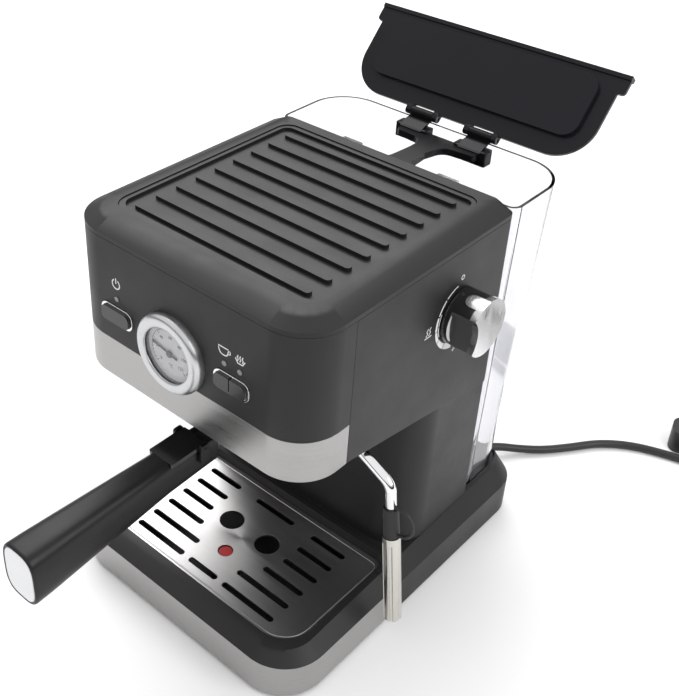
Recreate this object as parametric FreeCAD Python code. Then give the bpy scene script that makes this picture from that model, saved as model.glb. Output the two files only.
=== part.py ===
import FreeCAD, Part
import math
import os

# Espresso machine. Units are millimetres. X runs to the right of the machine as its
# user faces it, Y runs from the front to the back, Z is up. The origin lies on the
# worktop, on the centre plane, under the middle of the body.

V = FreeCAD.Vector
PI = math.pi

# ---- driving dimensions
head_width = 200.0          # across the head's side walls
head_front = -121.0         # front face of the head
head_back = 77.0            # back face of the head
head_bottom = 182.0         # lower edge of the steel band
band_top = 212.0            # upper edge of the steel band
seam_z = 285.0              # underside of the top cover
top_z = 293.4               # top of the cover
head_radius = 30.0          # plan radius of the head's front corners
panel_split = -81.5         # where the front panel meets the head shell
wall = 2.5                  # casing wall
side_drop = 28.0            # how far the side walls fall from front to back
base_width = 214.0
base_front = -134.0
base_back = 143.0
foot_height = 3.0
base_side = 30.0            # height of the base's upright side
rim_front = 36.0            # height of the base's rim at the front
rim_back = 47.0             # and at the back
rim_inset = 10.0            # how far the bevel leans in
base_radius = 34.0          # plan radius of the base's front corners
base_back_radius = 26.0
tray_split = -27.0          # where the drip tray meets the base
column_front = -5.0
column_radius = 28.0
group_y = -56.0             # centre of the brewing group
control_x = -4.8            # the controls sit a little left of the centre plane
gauge_z = 230.5
gauge_radius = 27.2
button_x = 49.2             # offset of the button groups from the centre plane
button_z = 233.2
lamp_z = 245.3
lamp_radius = 1.9
knob_y = 22.6
knob_z = 237.4
knob_radius = 19.2
knob_length = 21.2
wand_x = 84.0
wand_y = -50.0
wand_z = 178.0
pipe_radius = 3.6
plate_half = 91.6
plate_front = -116.6
plate_back = -13.0
plate_z = 33.4
tank_half = 99.5
tank_front = 78.2
tank_back = 148.5
tank_top = 288.0
tank_bottom = 41.0
tank_wall = 2.2
tank_taper = 7.0
tank_back_taper = 8.5       # the tank's back wall leans in further than its sides
lid_open_angle = 133.0
hinge_x = 1.5               # middle of the two hinge brackets
lid_x = 4.8                 # the lid itself sits a little right of them
hinge_y = 149.0
hinge_z = 292.0
cord_radius = 3.3
coil_radius = 37.0
gap = 0.3                   # clearance between parts that move past each other
fit = 0.05                  # running clearance of a pin or shaft in its hole

half = head_width / 2
base_half = base_width / 2
made = []

NORMAL = {"xy": V(0, 0, 1), "yz": V(1, 0, 0), "xz": V(0, 1, 0)}


# ---- shape helpers
def place(plane, level, u, v):
    if plane == "xy":
        return V(u, v, level)
    if plane == "yz":
        return V(level, u, v)
    return V(u, level, v)


def rounded(points, to_space):
    """Closed wire through (u, v, radius) corners, put into space by to_space(u, v)."""
    count = len(points)
    spans = []
    for i, (u, v, r) in enumerate(points):
        here = V(u, v, 0)
        before = V(points[i - 1][0], points[i - 1][1], 0) - here
        after = V(points[(i + 1) % count][0], points[(i + 1) % count][1], 0) - here
        if r <= 0:
            spans.append((here, None, here))
            continue
        before.normalize()
        after.normalize()
        half_angle = before.getAngle(after) / 2
        reach = r / math.tan(half_angle)
        centre_way = before + after
        centre_way.normalize()
        middle = here + centre_way * (r / math.sin(half_angle) - r)
        spans.append((here + before * reach, middle, here + after * reach))
    edges = []
    for i, (start, middle, end) in enumerate(spans):
        if middle is not None:
            arc = [to_space(p.x, p.y) for p in (start, middle, end)]
            edges.append(Part.Arc(*arc).toShape())
        following = spans[(i + 1) % count][0]
        if (following - end).Length > 1e-6:
            line = Part.LineSegment(to_space(end.x, end.y), to_space(following.x, following.y))
            edges.append(line.toShape())
    return Part.Wire(edges)


def slab(points, low, high, plane="xy"):
    """Prism of a rounded outline between two levels of a plane's normal."""
    wire = rounded(points, lambda u, v: place(plane, low, u, v))
    return Part.Face(wire).extrude(NORMAL[plane] * (high - low))


def rect(u0, u1, v0, v1, radii=0.0):
    """Corners of a rectangle; radii is one value or four, from (u0, v0) round by (u1, v0)."""
    if not isinstance(radii, (list, tuple)):
        radii = [radii] * 4
    corners = [(u0, v0), (u1, v0), (u1, v1), (u0, v1)]
    return [(u, v, r) for (u, v), r in zip(corners, radii)]


def block(u0, u1, v0, v1, low, high, radii=0.0, plane="xy"):
    return slab(rect(u0, u1, v0, v1, radii), low, high, plane)


def cylinder(radius, start, end):
    way = V(*end) - V(*start)
    return Part.makeCylinder(radius, way.Length, V(*start), way)


def pipe(outer, inner, start, end):
    return cylinder(outer, start, end).cut(cylinder(inner, start, end))


def cone(r0, r1, start, end):
    way = V(*end) - V(*start)
    return Part.makeCone(r0, r1, way.Length, V(*start), way)


def loft(wires):
    return Part.makeLoft(wires, True, True)


def fused(shapes):
    return shapes[0].fuse(list(shapes[1:])).removeSplitter()


def route(points, radii=None):
    """Straight runs joined by tangent arcs; returns the wire and the arcs' radii."""
    points = [V(*p) for p in points]
    edges = []
    used = []
    start = points[0]
    for i in range(1, len(points) - 1):
        a, b, c = points[i - 1], points[i], points[i + 1]
        back = (a - b).normalize()
        on = (c - b).normalize()
        turn = PI - back.getAngle(on)
        shorter = min((a - b).Length, (c - b).Length)
        radius = 0.45 * shorter / math.tan(turn / 2)
        if radii is not None:
            radius = radii
        reach = radius * math.tan(turn / 2)
        inward = (back + on).normalize()
        middle = b + inward * (radius / math.cos(turn / 2) - radius)
        first = b + back * reach
        last = b + on * reach
        edges.append(Part.LineSegment(start, first).toShape())
        edges.append(Part.Arc(first, middle, last).toShape())
        used.append(radius)
        start = last
    edges.append(Part.LineSegment(start, points[-1]).toShape())
    return Part.Wire(edges), used


def swept(points, radius, bend=None):
    path, used = route(points, bend)
    start = V(*points[0])
    way = V(*points[1]) - start
    circle = Part.Wire([Part.Circle(start, way, radius).toShape()])
    return path.makePipeShell([circle], True, False), path.Length, used


def save(name, shape):
    solids = shape.Solids
    valid = all(s.isValid() for s in solids)
    print(name, len(solids), "solid(s)", round(shape.Volume, 1), "" if valid else "INVALID")
    body = solids[0] if len(solids) == 1 else Part.makeCompound(solids)
    body.exportStep("parts/" + name + ".step")
    made.append(name)


os.makedirs("parts", exist_ok=True)


# ---- base
def rim_z(y):
    """Height of the base's rim at a distance along the machine."""
    share = (y - base_front) / (base_back - base_front)
    return rim_front + (rim_back - rim_front) * share


def base_outline(inset):
    front = max(base_radius - inset, 1)
    back = max(base_back_radius - inset, 1)
    return rect(-base_half + inset, base_half - inset, base_front + inset,
                base_back - inset, [front, front, back, back])


def base_form(inset):
    """The base's outer form, or the same form inset by a wall."""
    lower = slab(base_outline(inset), foot_height, base_side)
    foot_wire = rounded(base_outline(inset), lambda u, v: V(u, v, base_side))
    top_wire = rounded(base_outline(inset + rim_inset), lambda u, v: V(u, v, rim_z(v)))
    return lower.fuse(loft([foot_wire, top_wire])).removeSplitter()


floor_top = foot_height + 2.6
arm_x = 93.0                # inner face of the base's side arms
tub_back = column_front - 3.5
form = base_form(0)
front_zone = fused([
    block(-base_half - 5, base_half + 5, base_front - 5, tray_split - gap, 0, 80),
    block(-arm_x + gap, arm_x - gap, tray_split - 1, tub_back - gap, 0, 80)])
floor_half = base_half - 4.0
under_tray = block(-floor_half - gap, floor_half + gap, base_front + 3.5 - gap, 200, 0,
                   floor_top + gap, [base_radius - 4, base_radius - 4, 1, 1])
tray_form = form.common(front_zone).cut(under_tray)
band_height = base_side - 0.3
band_zone = block(-base_half - 5, base_half + 5, base_front - 5, tray_split - 0.6,
                  foot_height, band_height)
inner_form = slab(base_outline(1.0), 0, 60)
tray_band = form.common(band_zone).cut(inner_form)
save("tray_band", tray_band)
tub_cavity = block(-86, 86, plate_front + 3, plate_back - 3, floor_top + 3.2, 60,
                   [20, 20, 8, 8])
plate_seat = block(-plate_half - gap, plate_half + gap, plate_front - gap,
                   plate_back + gap, plate_z - 2.0, 60, [24.3, 24.3, 8.3, 8.3])
tray_body = tray_form.cut(tub_cavity).cut(plate_seat).cut(
    form.common(band_zone).cut(slab(base_outline(1.05), 0, 60)))
save("drip_tray", tray_body)

base_floor = block(-floor_half, floor_half, base_front + 3.5, base_back - 4, foot_height,
                   floor_top, [base_radius - 4, base_radius - 4, 22, 22])
foot_x = 82.0
foot_ys = (-104.0, 114.0)
screw_x = 60.0
screw_ys = (20.0, 125.0)
for x in (-screw_x, screw_x):
    for y in screw_ys:
        base_floor = base_floor.cut(cylinder(1.9, (x, y, 0), (x, y, 20)))
save("base_cover", base_floor)

rear_zone = block(-base_half - 5, base_half + 5, tray_split, base_back + 5, 0, 80).cut(
    block(-arm_x, arm_x, tray_split - 1, tub_back, 0, 80))
rear = form.common(rear_zone)
rear = rear.cut(block(-300, 300, -300, 300, 0, floor_top + 0.1).common(
    slab(base_outline(3.7), 0, 60)))
hollow = slab(base_outline(4.0), floor_top + 0.1, 27.0).common(
    block(-100, 100, tub_back + 3, base_back, 0, 60))
column_seat_z = 31.0
tank_seat_z = tank_bottom - 1.0
bottom_half = tank_half - tank_taper
pocket = block(-bottom_half - 1.0, bottom_half + 1.0, tank_front + 3.2,
               tank_back - tank_back_taper + 0.6, tank_seat_z, 80, [6, 6, 24, 24])
seat_hole_y = 112.0
base_shell = rear.cut(hollow).cut(pocket)
for x in (-screw_x, screw_x):
    for y in screw_ys:
        boss = pipe(4.0, 1.45, (x, y, floor_top + 0.1), (x, y, 27.5))
        base_shell = base_shell.fuse(boss)
column_half = half - 3.2
column_foot = block(-column_half - 0.1, column_half + 0.1, column_front - 0.1,
                    head_back + 2.4, column_seat_z, 80,
                    [column_radius, column_radius, 3, 3])
gland_x = 46.0
gland_z = 12.0
base_shell = base_shell.cut(column_foot)
base_shell = base_shell.cut(cylinder(12.6, (0, seat_hole_y, 20), (0, seat_hole_y, 60)))
base_shell = base_shell.cut(cylinder(6.0, (gland_x, 120, gland_z), (gland_x, 160, gland_z)))
base_shell = base_shell.cut(cylinder(4.0, (0, 60, 20), (0, 60, 60)))
save("base_shell", base_shell.removeSplitter())

tank_seat = pipe(12.5, 7.5, (0, seat_hole_y, 24), (0, seat_hole_y, tank_seat_z))
save("tank_seat", tank_seat.fuse(pipe(7.5, 5.2, (0, seat_hole_y, 24), (0, seat_hole_y, 26.5))))

feet = []
for x in (-foot_x, foot_x):
    for y in foot_ys:
        feet.append(cone(8.5, 9.5, (x, y, 0), (x, y, foot_height)))
save("feet", Part.makeCompound(feet))

screws = []
for x in (-screw_x, screw_x):
    for y in screw_ys:
        shank = cylinder(1.4, (x, y, foot_height - 0.1), (x, y, 18))
        head = cylinder(3.2, (x, y, foot_height - 2.0), (x, y, foot_height - 0.05))
        screws.append(shank.fuse(head))
save("base_screws", Part.makeCompound(screws))

# ---- column
column_back = head_back + 2.3
neck_back = head_back - wall - 0.3
step_z = head_bottom - side_drop - 0.5


def column_solid(inset, low, high):
    radius = column_radius - inset
    lower = block(-column_half + inset, column_half - inset, column_front + inset,
                  column_back - inset, low, min(step_z, high) - inset,
                  [radius, radius, 3, 3])
    upper = block(-column_half + inset, column_half - inset, column_front + inset,
                  neck_back - inset, low, high, [radius, radius, 3, 3])
    return lower.fuse(upper)


floor_low = head_bottom + 2.0
column_outer = column_solid(0, column_seat_z + 0.1, floor_low - 0.1)
column_inner = column_solid(3.0, column_seat_z + 3.1, floor_low + 20)
column_shell = column_outer.cut(column_inner)
column_shell = column_shell.cut(cylinder(7, (0, 60, 20), (0, 60, 60)))
save("column_shell", column_shell)


# ---- head
def head_outline(inset):
    front = max(head_radius - inset, 1)
    back = max(6.0 - inset, 1)
    return rect(-half + inset, half - inset, head_front + inset, head_back - inset,
                [front, front, back, back])


def head_walls(low, high, thick=wall):
    return slab(head_outline(0), low, high).cut(slab(head_outline(thick), low - 1, high + 1))


gauge_hole = cylinder(gauge_radius - 4.0, (control_x, head_front - 5, gauge_z),
                      (control_x, head_front + 20, gauge_z))
front_half = block(-half - 5, half + 5, head_front - 5, panel_split, 0, 400)
band = head_walls(head_bottom, band_top - 0.15).common(front_half).cut(gauge_hole)
save("head_band", band)

button_w = 25.3
button_h = 10.4
button_depth = 7.0


def button_outline(x, grow):
    return rect(x - button_w / 2 - grow, x + button_w / 2 + grow,
                button_z - button_h / 2 - grow, button_z + button_h / 2 + grow, 4.0 + grow)


surround = 1.6
left_x = control_x - button_x
right_x = control_x + button_x
lamp_spots = [(left_x, lamp_z), (right_x - 6.1, lamp_z), (right_x + 6.1, lamp_z)]
panel = head_walls(band_top + 0.15, seam_z - 0.2).common(front_half).cut(gauge_hole)
for x in (left_x, right_x):
    opening = slab(button_outline(x, surround), head_front - 5, head_front + 10, "xz")
    panel = panel.cut(opening)
for x, z in lamp_spots:
    panel = panel.cut(cylinder(lamp_radius, (x, head_front - 5, z), (x, head_front + 10, z)))
save("front_panel", panel)

shell_profile = [(panel_split + 0.2, head_bottom, 0), (panel_split + 0.2, seam_z - 0.2, 0),
                 (head_back + 5, seam_z - 0.2, 0), (head_back + 5, head_bottom - side_drop, 0)]
side_mask = slab(shell_profile, -half - 5, half + 5, "yz")
head_shell = head_walls(100, 400).common(side_mask)
head_shell = head_shell.cut(cylinder(6.2, (half - 10, knob_y, knob_z), (half + 5, knob_y, knob_z)))
save("head_shell", head_shell)

floor_high = floor_low + 2.6
head_floor = slab(head_outline(wall + 0.15), floor_low, floor_high)
head_floor = head_floor.cut(cylinder(39.5, (0, group_y, 150), (0, group_y, 200)))
socket_radius = 10.0
head_floor = head_floor.cut(cylinder(socket_radius + 0.1, (wand_x, wand_y, 150),
                                     (wand_x, wand_y, 200)))
head_floor = head_floor.cut(cylinder(9.0, (-30, 45, 150), (-30, 45, 200)))
save("head_floor", head_floor)

# ---- top cover and cup tray
shoulder_z = seam_z + 3.0
shoulder_in = 11.0
tray_half = 82.0
tray_y0 = -100.0
tray_y1 = 66.0
cover = slab(head_outline(0), seam_z, shoulder_z)
cover_low = rounded(head_outline(0), lambda u, v: V(u, v, shoulder_z))
flat_outline = rect(-half + shoulder_in, half - shoulder_in, head_front + shoulder_in,
                    head_back - 2.0, [head_radius - 10, head_radius - 10, 4, 4])
cover_high = rounded(flat_outline, lambda u, v: V(u, v, top_z))
cover = cover.fuse(loft([cover_low, cover_high])).removeSplitter()
cover = cover.cut(block(-tray_half, tray_half, tray_y0, tray_y1, seam_z + 2.5, 400,
                        [14, 14, 10, 10]))
save("top_cover", cover)

tray_floor_z = top_z - 3.0
cup_tray = block(-tray_half + 0.2, tray_half - 0.2, tray_y0 + 0.2, tray_y1 - 0.2,
                 seam_z + 2.6, top_z - 0.8, [13.8, 13.8, 9.8, 9.8])
cup_tray = cup_tray.cut(block(-tray_half + 3.2, tray_half - 3.2, tray_y0 + 6.0,
                              tray_y1 - 4.0, tray_floor_z, 400, [9, 9, 6, 6]))
rib_count = 9
rib_pitch = 17.4
rib_first = -87.0
rib_half = 71.0
for i in range(rib_count):
    y = rib_first + i * rib_pitch
    rib = block(-rib_half, rib_half, y - 2.6, y + 2.6, tray_floor_z - 0.5, top_z - 0.6, 2.5)
    cup_tray = cup_tray.fuse(rib)
save("cup_tray", cup_tray.removeSplitter())

# ---- gauge
gauge_front = head_front - 6.8
bore = gauge_radius - 5.6


def on_gauge(y):
    return (control_x, y, gauge_z)


housing = cone(gauge_radius, gauge_radius - 0.7, on_gauge(head_front - 0.15),
               on_gauge(gauge_front + 2.0))
housing = housing.fuse(cylinder(gauge_radius - 4.1, on_gauge(head_front - 0.2),
                                on_gauge(head_front + 12)))
housing = housing.cut(cylinder(bore, on_gauge(gauge_front), on_gauge(head_front + 9)))
save("gauge_housing", housing)
bezel_ring = cone(gauge_radius - 0.8, gauge_radius - 3.0, on_gauge(gauge_front + 1.9),
                  on_gauge(gauge_front))
bezel_ring = bezel_ring.cut(cylinder(18.9, on_gauge(gauge_front - 5), on_gauge(0)))
save("gauge_bezel", bezel_ring)
dial_y = gauge_front + 5.8
save("gauge_dial", cylinder(bore - 0.1, on_gauge(dial_y), on_gauge(dial_y + 1.2)).cut(
    cylinder(1.0, on_gauge(dial_y - 1), on_gauge(dial_y + 3))))
save("gauge_lens", cylinder(bore - 0.1, on_gauge(gauge_front + 2.0),
                            on_gauge(gauge_front + 3.2)))
needle_y = dial_y - 1.3
needle = cylinder(2.2, on_gauge(needle_y), on_gauge(needle_y + 0.7))
needle = needle.fuse(cylinder(0.95, on_gauge(needle_y), on_gauge(dial_y + 2.4)))
needle = needle.fuse(block(control_x - 15.0, control_x + 6.5, gauge_z - 0.6, gauge_z + 0.6,
                           needle_y, needle_y + 0.6, 0, "xz"))
needle.rotate(V(control_x, 0, gauge_z), V(0, 1, 0), 12)
save("gauge_needle", needle.removeSplitter())

# ---- buttons and lamps
button_out = 3.0


def button(x0, x1, radii):
    outer = block(x0, x1, button_z - button_h / 2, button_z + button_h / 2,
                  head_front - button_out, head_front + button_depth, radii, "xz")
    stem = cylinder(2.0, ((x0 + x1) / 2, head_front + button_depth - 1, button_z),
                    ((x0 + x1) / 2, head_front + 14, button_z))
    return outer.fuse(stem).removeSplitter()


edge = 0.25
split = 0.35
save("power_button", button(left_x - button_w / 2 + edge, left_x + button_w / 2 - edge,
                            4.0 - edge))
save("coffee_button", button(right_x - button_w / 2 + edge, right_x - split,
                             [4.0 - edge, 0.4, 0.4, 4.0 - edge]))
save("steam_button", button(right_x + split, right_x + button_w / 2 - edge,
                            [0.4, 4.0 - edge, 4.0 - edge, 0.4]))
rings = []
for x in (left_x, right_x):
    ring = slab(button_outline(x, surround - 0.05), head_front - 1.2, head_front + 4, "xz")
    rings.append(ring.cut(slab(button_outline(x, 0.0), head_front - 5, head_front + 9, "xz")))
save("button_surrounds", Part.makeCompound(rings))

springs = []
button_xs = (left_x, right_x - button_w / 4, right_x + button_w / 4)
for x in button_xs:
    springs.append(pipe(3.2, 2.4, (x, head_front + button_depth + 2.2, button_z),
                        (x, head_front + 15.5, button_z)))
save("button_springs", Part.makeCompound(springs))
switch_y = head_front + 16.0
board = block(-70, 70, 216, 262, switch_y, switch_y + 1.6, 2, "xz")
save("control_board", board)
lamps = []
for x, z in lamp_spots:
    lamps.append(cylinder(lamp_radius - 0.1, (x, head_front - 0.4, z), (x, switch_y - 0.1, z)))
save("indicator_lamps", Part.makeCompound(lamps))

# ---- steam knob and valve
knob_face = half + 0.8 + knob_length
spindle_radius = 4.0
scoop_radius = 20.0         # the finger scoop in the knob's side
scoop_y = knob_y - 10.4 - scoop_radius


def scoop(low, high):
    return cylinder(scoop_radius, (low, scoop_y, knob_z - 1.5), (high, scoop_y, knob_z - 1.5))


knob_body = cylinder(knob_radius, (half + 0.8, knob_y, knob_z), (half + 17.5, knob_y, knob_z))
knob_body = knob_body.cut(scoop(half + 5.0, half + 40))
knob_body = knob_body.cut(cylinder(spindle_radius, (half - 1, knob_y, knob_z),
                                   (half + 12, knob_y, knob_z)))
save("knob_body", knob_body)
cap = cylinder(knob_radius + 0.4, (half + 17.6, knob_y, knob_z), (knob_face, knob_y, knob_z))
tongue = pipe(knob_radius + 1.0, knob_radius + 0.05, (half + 8.5, knob_y, knob_z),
              (half + 18.5, knob_y, knob_z))
tongue_shape = block(half + 8.5, half + 19.0, knob_y - 5.0, knob_y + 5.0, knob_z + 10,
                     knob_z + 30, [4.9, 0, 0, 4.9])
tongue_shape.rotate(V(0, knob_y, knob_z), V(1, 0, 0), 18)
cap = cap.fuse(tongue.common(tongue_shape)).cut(scoop(half + 5.0, half + 40))
save("knob_cap", cap.removeSplitter())
save("knob_spindle", cylinder(spindle_radius - 0.05, (half - 14, knob_y, knob_z),
                              (half + 11.9, knob_y, knob_z)))
valve = block(half - 42, half - 9, knob_y - 12, knob_y + 12, knob_z - 12, knob_z + 12, 4)
valve = valve.cut(cylinder(spindle_radius + fit, (half - 20, knob_y, knob_z),
                           (half, knob_y, knob_z)))
save("steam_valve", valve)

# ---- steam wand
ball_radius = 6.8
socket_low = wand_z - 1.0
socket = cylinder(socket_radius, (wand_x, wand_y, socket_low), (wand_x, wand_y, wand_z + 14))
socket = socket.cut(Part.makeSphere(ball_radius + 0.08, V(wand_x, wand_y, wand_z)))
socket = socket.cut(cylinder(2.0, (wand_x, wand_y, wand_z), (wand_x, wand_y, wand_z + 20)))
save("wand_socket", socket)
shoulder = (wand_x + 1.5, wand_y, wand_z - 13.0)
elbow = (wand_x + 28.3, wand_y, wand_z - 27.0)
tip = (wand_x + 41.3, wand_y, 41.0)
wand_way = (V(*tip) - V(*elbow)).normalize()


def along(distance):
    p = V(*tip) - wand_way * distance
    return (p.x, p.y, p.z)


froth_length = 70.5
sleeve_length = 22.5
pipe_end = along(froth_length - 6)
wand_pipe, pipe_length, pipe_bends = swept([(wand_x, wand_y, wand_z), shoulder, elbow,
                                            pipe_end], pipe_radius, 11.0)
wand_pipe = wand_pipe.fuse(Part.makeSphere(ball_radius, V(wand_x, wand_y, wand_z)))
save("wand_pipe", wand_pipe)
froth_radius = 6.0
froth = cylinder(froth_radius, tip, along(froth_length))
froth = froth.cut(cylinder(pipe_radius + 0.02, along(froth_length - 6), along(froth_length + 5)))
froth = froth.cut(cylinder(3.0, along(-5), along(froth_length - 12)))
groove_way = V(1, 0, 0).cross(wand_way).normalize()
for turn in range(6):
    side = FreeCAD.Rotation(wand_way, turn * 60.0 + 30).multVec(groove_way) * (froth_radius + 0.5)
    low = V(*along(-3)) + side
    high = V(*along(froth_length - 5)) + side
    froth = froth.cut(cylinder(1.3, (low.x, low.y, low.z), (high.x, high.y, high.z)))
save("froth_tube", froth)
sleeve = cone(5.4, 4.9, along(froth_length + 0.1), along(froth_length + sleeve_length))
loop_at = V(*along(froth_length + 14))
loop = Part.makeTorus(10.9, 1.3, loop_at + V(5.6, 0, 0), V(0, 1, 0))
sleeve = sleeve.fuse(loop)
sleeve = sleeve.cut(cylinder(pipe_radius + 0.02, along(froth_length - 1),
                             along(froth_length + sleeve_length + 8)))
save("wand_sleeve", max(sleeve.Solids, key=lambda s: s.Volume))

# ---- brewing group
group_low = 156.0
group_radius = 39.2
group_bore = 37.2           # roomy, so the filter holder twists freely
group = cylinder(group_radius, (0, group_y, group_low), (0, group_y, floor_high - 0.2))
group = group.cut(cylinder(group_bore, (0, group_y, 100), (0, group_y, 168)))
group = group.cut(cylinder(24.0, (0, group_y, 160), (0, group_y, 176)))
group = group.cut(cylinder(3.0, (0, group_y, 160), (0, group_y, 200)))
save("group_head", group)
save("group_gasket", pipe(group_bore - 0.2, 26.0, (0, group_y, 165.5), (0, group_y, 167.9)))
screen = cylinder(23.8, (0, group_y, 168.5), (0, group_y, 170)).cut(
    cylinder(2.1, (0, group_y, 160), (0, group_y, 180)))
screw = cylinder(2.0, (0, group_y, 168.4), (0, group_y, 178)).fuse(
    cylinder(4.0, (0, group_y, 166.6), (0, group_y, 168.45)))
save("shower_screen", Part.makeCompound([screen, screw.removeSplitter()]))
boiler = cylinder(34.0, (0, group_y, floor_high + 0.1), (0, group_y, 232))
boiler = boiler.fuse(cylinder(42.0, (0, group_y, floor_high + 0.1), (0, group_y, 192)))
boiler = boiler.cut(cylinder(29.0, (0, group_y, 194), (0, group_y, 228)))
save("boiler", boiler.removeSplitter())

# ---- portafilter
rim_top = 165.2
collar_low = 141.0
basket = pipe(30.0, 28.8, (0, group_y, 146), (0, group_y, rim_top - 0.05))
basket = basket.fuse(cylinder(30.0, (0, group_y, 145), (0, group_y, 146)))
basket = basket.fuse(pipe(32.5, 28.8, (0, group_y, rim_top - 1.2), (0, group_y, rim_top)))
save("filter_basket", basket.removeSplitter())
collar = cylinder(33.2, (0, group_y, collar_low), (0, group_y, rim_top - 1.5))
collar = collar.cut(cylinder(30.3, (0, group_y, collar_low + 3), (0, group_y, 200)))
collar = collar.cut(cylinder(5.0, (0, group_y, 100), (0, group_y, 200)))
neck_front = -97.5
neck = block(-8, 8, neck_front, group_y - 31, 143, 153, 0)
save("filter_collar", collar.fuse(neck).removeSplitter())
spout = cylinder(9.0, (0, group_y, 131), (0, group_y, collar_low - 0.05))
spout = spout.fuse(block(-21, 21, group_y - 6, group_y + 6, 122, 131.5, 5))
for x in (-14.5, 14.5):
    spout = spout.fuse(cylinder(6.0, (x, group_y, 114), (x, group_y, 125)))
    spout = spout.cut(cylinder(3.5, (x, group_y, 100), (x, group_y, 127)))
spout = spout.cut(cylinder(4.0, (0, group_y, 127), (0, group_y, 160)))
save("twin_spout", spout.removeSplitter())

handle_end = -248.0
cap_depth = 2.0


def handle_section(y, wide, tall, centre):
    radius = 0.86 * min(wide, tall)
    return rounded(rect(-wide, wide, centre - tall, centre + tall, radius),
                   lambda u, v: V(u, y, v))


handle_parts = [(neck_front - 0.1, 9.8, 12.6, 148.5), (-140.0, 10.4, 13.6, 148.0),
                (handle_end, 14.9, 19.5, 144.0)]
handle = loft([handle_section(*p) for p in handle_parts])
guard_back = -108.4
guard_front = -139.0
guard_low = 158.0
handle = handle.cut(block(-30, 30, guard_front - gap, 0, guard_low - gap, 200))
cap_wire = handle_section(handle_end, 13.9, 18.5, 144.0)
cap_solid = Part.Face(cap_wire).extrude(V(0, cap_depth, 0))
handle = handle.cut(cap_solid)
pin_y = guard_back - 4.0
pin_z = guard_low + 1.5
guard_half = 10.5
handle = handle.cut(cylinder(4.7, (-guard_half - gap, pin_y, pin_z),
                             (guard_half + gap, pin_y, pin_z)))
for s in (-1, 1):
    ear_in = s * (guard_half + gap)
    ear_out = s * (guard_half + 2.8)
    x0, x1 = min(ear_in, ear_out), max(ear_in, ear_out)
    ear = block(x0, x1, pin_y - 3.5, pin_y + 3.5, pin_z - 12.0, pin_z + 2.6)
    root_in, root_out = min(s * 9.0, ear_out), max(s * 9.0, ear_out)
    ear = ear.fuse(block(root_in, root_out, pin_y - 3.5, pin_y + 3.5, pin_z - 14.0, pin_z - 6.0))
    handle = handle.fuse(ear.cut(cylinder(1.0, (-20, pin_y, pin_z), (20, pin_y, pin_z))))
save("handle_grip", handle.removeSplitter())
save("handle_cap", Part.Face(handle_section(handle_end, 13.8, 18.4, 144.0)).extrude(
    V(0, cap_depth - 0.05, 0)))
guard = block(-guard_half, guard_half, guard_front, guard_back, guard_low, guard_low + 3.0, 1.5)
guard = guard.cut(cylinder(1.0 + fit, (-20, pin_y, pin_z), (20, pin_y, pin_z)))
save("filter_guard", guard)
save("guard_pin", cylinder(0.98, (-guard_half - 2.6, pin_y, pin_z),
                           (guard_half + 2.6, pin_y, pin_z)))

# ---- drip tray plate and float
slot_rows = []
slot_pitch = 15.2
slot_back = -27.8
for row in range(6):
    y = slot_back - row * slot_pitch
    inner = (38.0, 38.0, 38.0, 33.0, 22.0, 22.0)[row]
    slot_rows += [(-64.0, -inner, y), (inner, 64.0, y)]
slot_rows += [(-16.0, 16.0, slot_back), (-11.0, 11.0, slot_back - 5 * slot_pitch)]
plate = block(-plate_half, plate_half, plate_front, plate_back, plate_z - 1.9, plate_z,
              [24, 24, 8, 8])
for x0, x1, y in slot_rows:
    plate = plate.cut(block(x0 - 2.5, x1 + 2.5, y - 2.4, y + 2.4, 0, 80, 2.35))
cup_hole = 9.3
for x in (-17.5, 17.5):
    plate = plate.cut(cylinder(cup_hole, (x, group_y, 0), (x, group_y, 80)))
float_y = -81.0
float_radius = 5.0
plate = plate.cut(cylinder(float_radius + 0.6, (0, float_y, 0), (0, float_y, 80)))
save("drip_plate", plate)
float_low = floor_top + 3.6
drip_float = cylinder(float_radius, (0, float_y, float_low), (0, float_y, plate_z - 1.0))
drip_float = drip_float.fuse(cylinder(11.0, (0, float_y, float_low), (0, float_y, float_low + 8)))
save("drip_float", drip_float.removeSplitter())


# ---- tank
def tank_section(z, inset):
    share = (tank_top - z) / (tank_top - tank_bottom)
    lean = tank_taper * share
    back_lean = tank_back_taper * share
    grow = inset
    return rounded(rect(-tank_half + lean + grow, tank_half - lean - grow,
                        tank_front + 0.6 * lean + grow, tank_back - back_lean - grow,
                        [8 - grow, 8 - grow, 31 - grow, 31 - grow]), lambda u, v: V(u, v, z))


tank = loft([tank_section(tank_bottom, 0), tank_section(tank_top, 0)])
tank = tank.cut(loft([tank_section(tank_bottom + 2.5, tank_wall),
                      tank_section(tank_top + 1.0, tank_wall)]))
tank = tank.cut(cylinder(6.5, (0, seat_hole_y, 30), (0, seat_hole_y, 60)))
hook_spots = (-36.0, 44.0)
for x in hook_spots:
    hook = block(x - 8, x + 8, tank_front + 1.0, tank_front + 6.5, tank_top - 6, tank_top)
    hook = hook.fuse(block(x - 8, x + 8, tank_front + 4.2, tank_front + 6.5, tank_top - 1,
                           tank_top + 1.0))
    tank = tank.fuse(hook)
save("tank", tank.removeSplitter())
valve_body = cylinder(6.3, (0, seat_hole_y, tank_bottom - 8.0), (0, seat_hole_y, 54))
valve_body = valve_body.fuse(cylinder(9.5, (0, seat_hole_y, tank_bottom + 2.6),
                                      (0, seat_hole_y, 50)))
valve_body = valve_body.cut(cylinder(3.5, (0, seat_hole_y, 20), (0, seat_hole_y, 52)))
save("tank_valve", valve_body.removeSplitter())

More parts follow.
